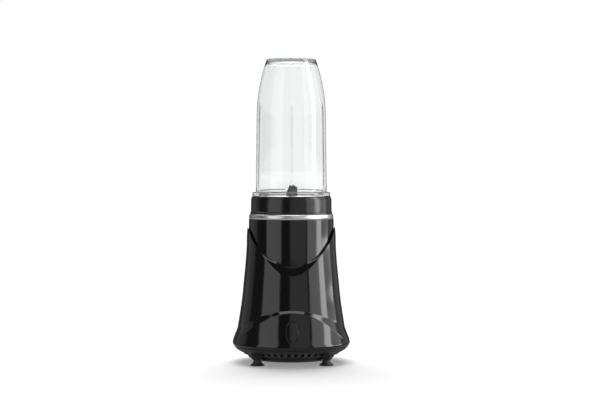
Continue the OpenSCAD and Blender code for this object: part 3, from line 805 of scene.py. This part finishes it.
class Build(Graph):
    """A Geometry Nodes tree on an object, with named inputs. finished() gives the plain mesh it makes."""

    def __init__(self, name, **inputs):
        self.name = name
        tree = bpy.data.node_groups.new(name, "GeometryNodeTree")
        super().__init__(tree)
        tree.interface.new_socket("Geometry", in_out="INPUT", socket_type="NodeSocketGeometry")
        kinds = {int: "NodeSocketInt", float: "NodeSocketFloat"}
        self.values = {}
        for label, value in inputs.items():
            made = tree.interface.new_socket(label, in_out="INPUT", socket_type=kinds[type(value)])
            self.values[made.identifier] = value
        tree.interface.new_socket("Geometry", in_out="OUTPUT", socket_type="NodeSocketGeometry")
        self.inputs = tree.nodes.new("NodeGroupInput")

    def given(self, label):
        """One of the tree's own inputs."""
        return Socket(self, self.inputs.outputs[label])

    def finished(self, source, last, finish, crease=38):
        """Ends the tree, sets its inputs on the source object and replaces it with the mesh that comes out."""
        solid = self.node("GeometryNodeRealizeInstances", None, {"Geometry": last})
        painted = self.node("GeometryNodeSetMaterial", None, {"Geometry": solid, "Material": finish})
        self.node("NodeGroupOutput", None, {"Geometry": painted})
        modifier = source.modifiers.new(self.name, "NODES")
        modifier.node_group = self.tree
        for identifier, value in self.values.items():
            modifier[identifier] = value
        source.update_tag()
        bpy.context.view_layer.update()
        graph = bpy.context.evaluated_depsgraph_get()
        mesh = bpy.data.meshes.new_from_object(source.evaluated_get(graph), depsgraph=graph)
        mesh.name = self.name
        source.modifiers.clear()
        bpy.data.objects.remove(source)
        mesh.shade_smooth()
        mesh.set_sharp_from_angle(angle=math.radians(crease))
        return shown(self.name, mesh)


def ringed(name, shape, count, finish, first=0.0):
    """Copies of one shape at even turns round Z, the first of them at that many degrees."""
    build = Build(name, Count=count, First=math.radians(first))
    points = build.node("GeometryNodePoints", None, {"Count": build.given("Count")})
    turn = build.node("GeometryNodeInputIndex") * (2 * math.pi) / build.given("Count") + build.given("First")
    spin = build.node("ShaderNodeCombineXYZ", None, {"Z": turn})
    copies = build.node("GeometryNodeInstanceOnPoints", None,
                        {"Points": points, "Instance": build.given("Geometry"), "Rotation": spin})
    return build.finished(shape.piece(name + "_source", finish), copies, finish)


def coiled(name, radius, wire, turns, length, finish):
    """Round wire wound round Z from height 0, in millimetres."""
    build = Build(name, Radius=radius * MM, Wire=wire * MM, Turns=float(turns), Length=float(length) * MM)
    line = build.node("GeometryNodeCurveSpiral", None,
                      {"Resolution": 40, "Rotations": build.given("Turns"), "Start Radius": build.given("Radius"),
                       "End Radius": build.given("Radius"), "Height": build.given("Length")})
    section = build.node("GeometryNodeCurvePrimitiveCircle", None, {"Resolution": 12, "Radius": build.given("Wire")})
    solid = build.node("GeometryNodeCurveToMesh", None, {"Curve": line, "Profile Curve": section, "Fill Caps": True})
    seed = Shape().block((0, 0, 0), (1, 1, 1), 0.1).piece(name + "_source", finish)
    return build.finished(seed, solid, finish, 50)


def shifted(made, turn=None, move=(0, 0, 0)):
    """Turns and moves a mesh's own points, in millimetres, so that the object stays at the origin."""
    if turn is not None:
        made.data.transform(turn)
    made.data.transform(Matrix.Translation(Vector(move) * MM))
    return made


# ---- Base, underside -----------------------------------------------------------------------------

def bottom_cover():
    """The tray under the base: a flat pan, a sloped wall with a ring of bars between the vents, and a rim."""
    pan = rounded([(0, 4.1), (12, 4.1), (12.6, 4.9, 0.2), (28.6, 4.9, 0.2), (29.2, 4.1, 0.2), (46.3, 4.1, 1.4),
                   (49.6, 6.4, 1.2), (49.6, 8.9, 0.5), (52.2, 9.4, 0.5), (54.6, 10.1, 0.2), (54.4, 12.6, 0.2),
                   (50.8, 11.9, 0.6), (47, 11.4, 0.8), (47, 8, 0.8), (45.4, 6.8, 0.5), (0, 6.8)], 4)
    rim = rounded([(62.6, 15.1, 0.3), (65.1, 17.8, 1.0), (66.45, 19.95, 0.3), (63.2, 20.0, 0.3), (63.2, 24.2, 0.2),
                   (61.3, 24.2, 0.2), (61.3, 18.6, 0.5), (61.1, 16.4, 0.2)], 4)
    shape = Shape().turned(pan, 192).turned(rim, 192)
    for sx, sy in ((-1, -1), (-1, 1), (1, -1), (1, 1)):
        socket = Shape().turned(rounded([(4.4, 7), (6.2, 7, 0.8), (7.0, 13, 0.6), (7.0, 18.6, 0.5), (4.4, 18.6)]), 40)
        shape.joined(socket.moved(sx * FOOT_AWAY, sy * FOOT_AWAY))
    made = shape.piece("cover_tray", MATTE, 35)
    settle(made, "motor_base", "housing_black", "bottom_cover")
    width = 2 * math.pi * 59 / VENTS - VENT_W
    inner, outer = 53.4, 62.9
    bar = Shape().block((inner, -width / 2, -1.1), (outer, width / 2, 1.1), 0.35)
    lean = math.atan2(15.9 - 10.6, outer - inner)

    def tilted(p):
        """Leans a bar up towards the rim and widens it outwards."""
        out = p[:, 0] - inner
        return np.stack([inner + out, p[:, 1] * (0.9 + 0.012 * out), p[:, 2] + 11.1 + out * math.tan(lean)], axis=1)

    settle(ringed("vent_bars", bar.carried(tilted), VENTS, MATTE), "motor_base", "housing_black")
    web = [(inner, 9.9), (outer, 15.2), (outer, 17.4), (inner, 12.2)]
    webs = Shape().swept(lambda share: web, (45, 135, 225, 315), 8.6, 9)
    settle(webs.piece("cover_foot_webs", MATTE), "motor_base", "housing_black")


def feet():
    """Four suction feet: a thin flared cup on a stem."""
    line = rounded([(0, 1.5), (4.4, 1.2, 1.5), (6.6, 0.05, 0.5), (8.15, 0.05, 0.25), (8.15, 0.75, 0.3),
                    (6.2, 2.3, 1.2), (4.7, 3.9, 1.2), (4.2, 7, 1), (4.2, 16.9), (0, 16.9)], 5)
    for name, sx, sy in (("foot_front_left", -1, -1), ("foot_front_right", 1, -1), ("foot_back_left", -1, 1),
                         ("foot_back_right", 1, 1)):
        shape = Shape().turned(line, 64).moved(sx * FOOT_AWAY, sy * FOOT_AWAY)
        settle(shape.piece("sucker_" + name, RUBBER, 45), "motor_base", "foot_rubber", name)


def grommet():
    """Cord grommet: a collar against the housing and a plain sleeve."""
    line = rounded([(3.6, 57.6, 0.3), (5.7, 57.6, 0.4), (5.7, 62.5), (8.1, 62.5, 0.4), (8.1, 64.9, 0.7),
                    (5.9, 64.9, 0.3), (5.7, 65.9, 0.4), (3.6, 65.9, 0.5)], 5)
    shape = Shape().turned(line, 64).carried(lambda p: np.stack([p[:, 0], p[:, 2], 34 - p[:, 1]], axis=1))
    settle(shape.piece("cord_sleeve", RUBBER, 40), "motor_base", "foot_rubber", "cord_grommet")


def button():
    """An upright oval cap that follows the skirt, half a millimetre proud, with a soft edge and a post behind."""
    w, h = BUTTON_W - 2 * BUTTON_GAP, BUTTON_H - 2 * BUTTON_GAP
    count = 96
    a = np.arange(count) * 2 * math.pi / count
    loops = []
    for scale, sink in ((1, 3.1), (1, 0.35), (0.985, 0.1), (0.95, 0), (0.9, 0), (0.7, 0), (0.5, 0), (0.3, 0),
                        (0.12, 0)):
        x, z = w / 2 * scale * np.cos(a), BUTTON_Z + h / 2 * scale * np.sin(a)
        r = skirt_r(z) + 0.45 - sink
        loops.append(list(zip(x, -np.sqrt(r * r - x * x), z)))
    post = Shape().turned(rounded([(0, 53.3), (3, 53.3, 0.4), (3, 61), (0, 61)]), 32)
    post.carried(lambda p: np.stack([p[:, 0], -p[:, 2], BUTTON_Z + p[:, 1]], axis=1))
    shape = Shape().lofted(loops).joined(post)
    settle(shape.piece("button_cap", GLOSS, 50), "power_button", "housing_black", "power_button")


# ---- Blades and drive ----------------------------------------------------------------------------

def blade(name, node, low, rise, turn):
    """A sheet blade: a flat middle and two wings that taper, lean by an angle and carry a ground edge."""
    flat, width = 9, 13
    shape = Shape().block((-flat, -width / 2, low), (flat, width / 2, low + BLADE_T), 0.12)
    lean = math.radians(rise)
    wing = (BLADE_R - 0.3 - flat) / math.cos(lean)
    loops = []
    for t in (0, 0.02, 0.25, 0.5, 0.75, 0.9, 1):
        back = width / 2 - 0.05 * t
        edge = -width / 2 + width * 0.3 * t
        back = back if t < 0.78 else back - (t - 0.78) / 0.22 * 6
        ground = max(0.3, min(3.2, 0.6 * (back - edge) - 0.2)) * min(1, t / 0.02 + 0.1)
        out = wing * t
        section = [(back, 0.12), (back, BLADE_T - 0.12), (back - 0.12, BLADE_T), (edge + ground, BLADE_T),
                   (edge + 0.02, 0.22), (edge, 0.08), (edge + 0.1, 0), (back - 0.12, 0)]
        loops.append([(flat - 0.1 + out * math.cos(lean) - up * math.sin(lean), across,
                       low + out * math.sin(lean) + up * math.cos(lean)) for across, up in section])
    for half in (0, math.pi):
        shape.joined(Shape().lofted(loops).spun(half))
    settle(shape.spun(turn).piece(name, BLADE, 25), "blades", "blade_steel", node)


def blade_nut():
    """An acorn nut with a flange, a chamfered hex and a polished dome."""
    base = BLADE_LOW + 2 * BLADE_T
    shape = Shape().turned(rounded([(4.05, base, 0.1), (7, base, 0.2), (7, base + 1.2, 0.4), (4.05, base + 1.2)]), 96)
    hexagon = []
    for size, z in ((5.9, base + 1.15), (6.2, base + 1.4), (6.2, base + 4.7), (5.5, base + 5.1)):
        hexagon.append([(size * math.cos(a), size * math.sin(a), z) for a in np.arange(6) * math.pi / 3])
    shape.lofted(hexagon)
    dome = [(4.6 * math.cos(a), base + 5 + 4.5 * math.sin(a)) for a in np.linspace(0, math.pi / 2, 14)]
    shape.turned([(0, base + 4.2), (4.6, base + 4.2)] + dome[:-1] + [(0, base + 9.5)], 64)
    settle(shape.piece("acorn_nut", BLADE, 28), "blades", "blade_steel", "blade_nut")


def blade_drive():
    """The spacer, the splined gear that hangs below the holder and the coupling that it drops into."""
    lathe("spacer_ring", MACHINED, "blades", "machined_steel", "blade_spacer", 96,
          [(4, 185, 0.2), (6.5, 185, 0.4), (6.5, 187.5, 0.4), (4, 187.5, 0.2)])
    lathe("gear_hub", NYLON, "blades", "coupling_plastic", "driven_gear", 96,
          [(4, 157.7, 0.3), (7.4, 157.7, 0.6), (7.7, 158.6), (7.7, 164.2, 0.4), (4, 164.2, 0.3)])
    tooth = Shape().lofted([[(7, -0.9, z), (9.75 - drop, -0.75, z), (9.75 - drop, 0.75, z), (7, 0.9, z)]
                            for z, drop in ((157.7, 1.1), (158.9, 0), (163.9, 0), (164.2, 0.3))])
    settle(ringed("gear_teeth", tooth, SPLINES, NYLON), "blades", "coupling_plastic")
    lathe("coupling_cup", NYLON, "motor_rotor", "coupling_plastic", "drive_coupling", 128,
          [(4, 153.4, 0.2), (12.9, 153.4, 0.8), (13, 163.4, 0.3), (12.2, 164.4, 0.5), (11, 164.4, 0.5),
           (10.2, 163.6, 0.3), (10.2, 157, 0.3), (4, 157, 0.3)])
    rib = Shape().lofted([[(8.05, -reach, z), (10.5, -reach * 1.25, z), (10.5, reach * 1.25, z), (8.05, reach, z)]
                          for z, reach in ((156.9, 0.75), (162.9, 0.75), (164.1, 0.3))])
    settle(ringed("coupling_splines", rib, SPLINES, NYLON, 180 / SPLINES), "motor_rotor", "coupling_plastic")


def gasket_and_thread():
    """The flat seal in the holder, with a raised bead, and the thread round the cup's neck."""
    lathe("gasket_ring", SILICONE, "cup_gasket", "seal_silicone", "cup_gasket", 192,
          [(36.9, 172.15, 0.2), (41.95, 172.15, 0.3), (41.95, 173.4, 0.4), (40.6, 173.4, 0.2), (40.2, 173.75, 0.2),
           (38.7, 173.75, 0.2), (38.3, 173.4, 0.2), (36.9, 173.4, 0.4)], steps=3)
    thread = shifted(coiled("cup_thread", 41.5, 0.62, 1.6, 7.2, CLEAR), None, (0, 0, 179))
    settle(thread, "tall_cup", "clear_cup")


# ---- Fastenings and springs ----------------------------------------------------------------------

def screw(x, y, low, high, head):
    """A pan-head screw with a cone-shaped recess, point upwards."""
    line = [(0, low + 0.9), (0.5, low + 0.9), (1.7, low + 0.05), (2.6, low), (3.3, low + 0.8), (3.4, low + head),
            (1.75, low + head)]
    z = low + head + 0.8
    while z < high - 1.4:
        line += [(1.4, z), (1.74, z + 0.4), (1.4, z + 0.8)]
        z += 0.85
    line += [(1.3, high - 0.9), (0.3, high), (0, high)]
    return Shape().turned(line, 24).moved(x, y)


def screws():
    """The three sets of screws that hold the base together."""
    pair = screw(SCREW_X, SCREW_Y, 4.6, 31, 2.2).joined(screw(SCREW_X, -SCREW_Y, 4.6, 31, 2.2))
    made = ringed("cover_screw_set", pair, 2, MACHINED)
    settle(made, "motor_base", "machined_steel", "cover_screws")
    made = ringed("sleeve_screw_set", screw(42, 0, 87.6, 107, 2.4), 4, MACHINED, 45)
    settle(made, "motor_base", "machined_steel", "sleeve_screws")
    made = ringed("mount_screw_set", screw(22 * math.sqrt(2), 0, 115.6, 141, 2.4), 4, MACHINED, 45)
    settle(made, "motor_base", "machined_steel", "mount_screws")


def springs():
    """Two compression springs, each between the base and the piece that it pushes back."""
    made = coiled("button_return_spring", 3.95, 0.43, 5.5, 8.5, MACHINED)
    shifted(made, Matrix.Rotation(math.radians(90), 4, "X"), (0, -50.55, BUTTON_Z))
    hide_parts("button_spring")
    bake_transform(made)
    low, high = box_mm("interlock_spring")
    x, y = (low[0] + high[0]) / 2, (low[1] + high[1]) / 2
    made = coiled("plunger_return_spring", 1.8, 0.27, 6.5, high[2] - low[2] - 0.6, MACHINED)
    shifted(made, None, (x, y, low[2] + 0.3))
    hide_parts("interlock_spring")
    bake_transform(made)


# ---- Motor ---------------------------------------------------------------------------------------

def cooling_fan():
    """A disc on a hub with eleven bowed blades below it."""
    lathe("fan_disc", FAN, "motor_rotor", "fan_plastic", "cooling_fan", 128,
          [(4, 28.2, 0.2), (7.8, 28.2, 0.8), (8, 40, 0.3), (32.9, 40.1, 0.4), (32.9, 41.9, 0.4), (4, 41.9, 0.3)])
    loops = []
    for t in np.linspace(0, 1, 9):
        x, bow = 7.2 + 24.6 * t, 2.2 * math.sin(math.pi * t)
        low = 28.2 + 3.5 * t * t
        loops.append([(x, bow + 0.75, low), (x, bow + 0.9, 40.4), (x, bow - 0.9, 40.4), (x, bow - 0.75, low)][::-1])
    settle(ringed("fan_blades", Shape().lofted(loops), 11, FAN), "motor_rotor", "fan_plastic")


def commutator():
    """Copper bars, each a little proud of a dark hub."""
    lathe("commutator_hub", CARBON, "motor_rotor", "copper_wire", "commutator", 96,
          [(4, 57.1, 0.2), (10.1, 57.1, 0.3), (10.1, 72.9, 0.3), (4, 72.9, 0.2)])
    bar = Shape().block((9.6, -1.05, 57.5), (10.45, 1.05, 72.6), 0.15)
    settle(ringed("commutator_bars", bar, 24, COMMUTATOR), "motor_rotor", "copper_wire")


bottom_cover()
feet()
grommet()
button()
blade("lower_blade_sheet", "lower_blade", BLADE_LOW, -12, 0)
blade("upper_blade_sheet", "upper_blade", BLADE_LOW + BLADE_T, 38, math.pi / 2)
blade_nut()
blade_drive()
gasket_and_thread()
screws()
springs()
cooling_fan()
commutator()


# ---- Materials of the CAD pieces that stay -------------------------------------------------------

CARRIED = [
    (DECK, ["seat_deck"]),
    (PRESSED, ["upper_bracket", "lower_bracket", "switch_bracket"]),
    (BEARING, ["upper_bearing", "lower_bearing"]),
    (CORE, ["stator_core", "armature_core"]),
    (COPPER, ["field_coil_front", "field_coil_back", "armature_winding"]),
    (BRASS, ["brush_holder_left", "brush_holder_right"]),
    (CARBON, ["carbon_brush_left", "carbon_brush_right"]),
    (RUBBER, ["motor_mount_front_left", "motor_mount_front_right", "motor_mount_back_left",
              "motor_mount_back_right", "shaft_seal", "spindle_seal"]),
    (SWITCH, ["power_switch", "interlock_switch"]),
    (MACHINED, ["stator_bolts", "rotor_shaft", "bearing_cartridge", "cartridge_nut", "blade_shaft"]),
    (BRONZE, ["upper_bush", "lower_bush"]),
    (WHITE, ["interlock_plunger"]),
]

for finish, nodes in CARRIED:
    for node in nodes:
        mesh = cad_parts[node].data
        mesh.materials.clear()
        mesh.materials.append(finish)


# ---- Camera, lights and floor --------------------------------------------------------------------

CAMERA_AWAY, CAMERA_ASIDE, CAMERA_HEIGHT = 1.725, 0.01005, 0.2203
CAMERA_BEARING, CAMERA_DROP = -1.4, 1.146
WHITE_LIGHT = (1, 1, 1, 1)


def camera():
    """A long lens level with the cup's foot, turned a little to the left of the front."""
    data = bpy.data.cameras.new("front_camera")
    data.lens = 90
    data.sensor_width = 36
    made = shown("front_camera", data)
    bearing = math.radians(CAMERA_BEARING)
    made.location = (CAMERA_AWAY * math.sin(bearing) + CAMERA_ASIDE * math.cos(bearing),
                     -CAMERA_AWAY * math.cos(bearing) + CAMERA_ASIDE * math.sin(bearing), CAMERA_HEIGHT)
    made.rotation_euler = (math.radians(90 - CAMERA_DROP), 0, bearing)
    bpy.context.scene.camera = made


def panel(name, place, width, height, luminance, face=(0, 0, 0.15)):
    """A softbox that only shows in reflections, facing a point of the object."""
    data = bpy.data.lights.new(name, "AREA")
    data.shape = "RECTANGLE"
    data.size, data.size_y = width, height
    data.energy = 4 * width * height * luminance
    made = shown(name, data)
    made.location = place
    away = Vector(place) - Vector(face)
    made.rotation_euler = away.to_track_quat("Z", "Y").to_euler()
    made.visible_camera = False
    made.visible_diffuse = False
    made.visible_transmission = False


def upright(name, start, end, low, high, luminance, distance=1.5):
    """An upright softbox between two bearings, in degrees from the front towards +X."""
    bearing = math.radians((start + end) / 2)
    place = (distance * math.sin(bearing), -distance * math.cos(bearing), (low + high) / 2)
    width = 2 * distance * math.tan(math.radians((end - start) / 2))
    panel(name, place, width, high - low, luminance, (0, 0, place[2]))


def rear_key():
    """A broad soft light from above and behind, for the shadow in front of the base."""
    data = bpy.data.lights.new("rear_key", "SUN")
    data.angle = math.radians(52)
    data.energy = 2.25
    made = shown("rear_key", data)
    made.rotation_euler = (math.radians(-34), 0, 0)
    made.visible_glossy = False


def surroundings():
    """A white sweep with its light from above, and a dark room for what the gloss reflects."""
    world = bpy.data.worlds.new("studio")
    world.use_nodes = True
    world.node_tree.nodes.clear()
    world.cycles.sampling_method = "NONE"
    g = Graph(world.node_tree)
    toward = g.node("ShaderNodeTexCoord", out="Generated")
    up = g.node("ShaderNodeSeparateXYZ", None, {"Vector": toward}, "Z")
    along = g.node("ShaderNodeSeparateXYZ", None, {"Vector": toward}, "Y")

    def glow(strength):
        """A white background of that strength."""
        return g.node("ShaderNodeBackground", None, {"Color": WHITE_LIGHT, "Strength": strength})

    def for_ray(kind, others, these):
        """One background for rays of that kind and another for the rest."""
        return g.node("ShaderNodeMixShader", None, [g.node("ShaderNodeLightPath", None, None, kind), others, these])

    lit = glow(up.or_more(0.0).power(4.0) * 0.32 + 0.15)
    mirrored = glow((-up).between(0.12, 0.4) * 0.4 + 0.085)
    beyond = glow(along.without_sign().between(0.3, 0.8) * 0.75 + 0.25)
    mixed = for_ray("Is Glossy Ray", for_ray("Is Diffuse Ray", glow(1.0), lit), mirrored)
    g.node("ShaderNodeOutputWorld", None, {"Surface": for_ray("Is Transmission Ray", mixed, beyond)})
    bpy.context.scene.world = world


def floor():
    """A wide pale floor that is not mirrored in the gloss."""
    f = Finish("pale_floor")
    colour = f.colour((0.93, 0.93, 0.93), (0.95, 0.95, 0.95), f.noise(90, 2))
    f.done(colour, f.noise(60, 2) * 0.06 + 0.6, None, Specular_IOR_Level=0.0, Emission_Color=WHITE_LIGHT,
           Emission_Strength=0.27)
    rings = np.linspace(0, 2 * math.pi, 97)[:-1]
    reach = 30000
    points = [(reach * math.cos(a), reach * math.sin(a), -0.05) for a in rings]
    made = Shape().add(points, [list(range(len(points)))]).piece("floor", f.material)
    made.visible_glossy = False


camera()
surroundings()
floor()
rear_key()
# Each softbox: its two bearings in degrees, its lower and upper edge in metres, its luminance and its distance.
upright("left_softbox", -70, -28, -0.1, 1.35, 1.0)
upright("front_fill", -4, 38, -0.1, 1.35, 0.4)
upright("right_fill", 42, 70, -0.1, 1.35, 1.5)
upright("right_strip", 70, 86, -0.1, 2.6, 5.4)
upright("right_edge_low", 86, 113, -0.05, 0.13, 4.6)
upright("right_edge_high", 86, 116, 0.13, 1.0, 1.15)
upright("left_rear", -140, -104, -0.1, 1.4, 0.17, 1.8)
upright("right_rear", 117, 145, -0.1, 1.4, 0.22, 1.8)
panel("front_top", (0, -0.8, 1.95), 2.3, 0.8, 2.0)
panel("rear_top", (0, 1.0, 1.8), 3.4, 1.0, 1.3)
bpy.context.scene.view_settings.view_transform = "Standard"
bpy.context.scene.cycles.use_denoising = True
